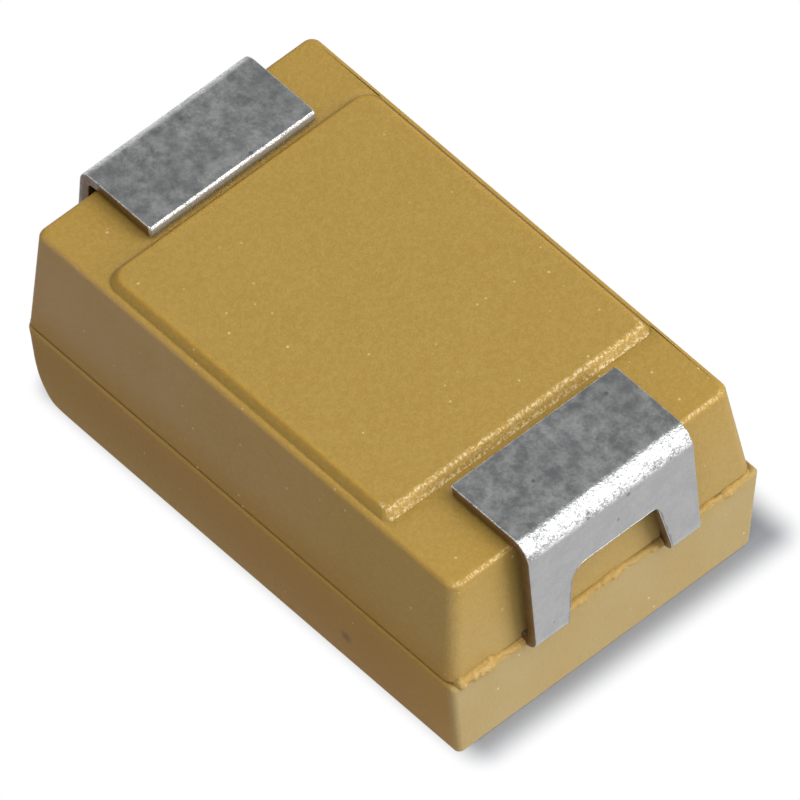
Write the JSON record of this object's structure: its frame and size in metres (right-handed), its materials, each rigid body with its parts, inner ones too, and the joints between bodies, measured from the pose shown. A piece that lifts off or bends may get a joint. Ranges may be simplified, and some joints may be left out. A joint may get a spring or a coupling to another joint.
{
  "type": "tantalum capacitor",
  "caption": "Moulded surface-mount tantalum capacitor: drafted block with a raised panel, a polarity bevel and folded leads, one of them notched.",
  "frame": {"origin": "middle of the marked face, which the part lies on, at the bottom centre of its box", "axes": "+X along the length towards the negative (notched) lead, +Y across the width, +Z from the marked face to the mounting face with the soldering feet"},
  "size_m": [0.0074, 0.0044, 0.0028],
  "materials": {
    "moulding": "fine-grained moulded epoxy, ochre brown",
    "lead_plating": "dull tin plating",
    "sintered_tantalum": "porous, matt dark grey",
    "silver_paint": "matt silver paint over graphite",
    "tantalum": "drawn wire, grey-blue",
    "washer_plastic": "white fluoroplastic"
  },
  "bodies": {
    "root": {"case_moulding": "moulding", "negative_lead": "lead_plating", "positive_lead": "lead_plating", "tantalum_pellet": "sintered_tantalum", "silver_coat": "silver_paint", "silver_adhesive": "silver_paint", "tantalum_wire": "tantalum", "wire_washer": "washer_plastic"}
  },
  "joints": []
}
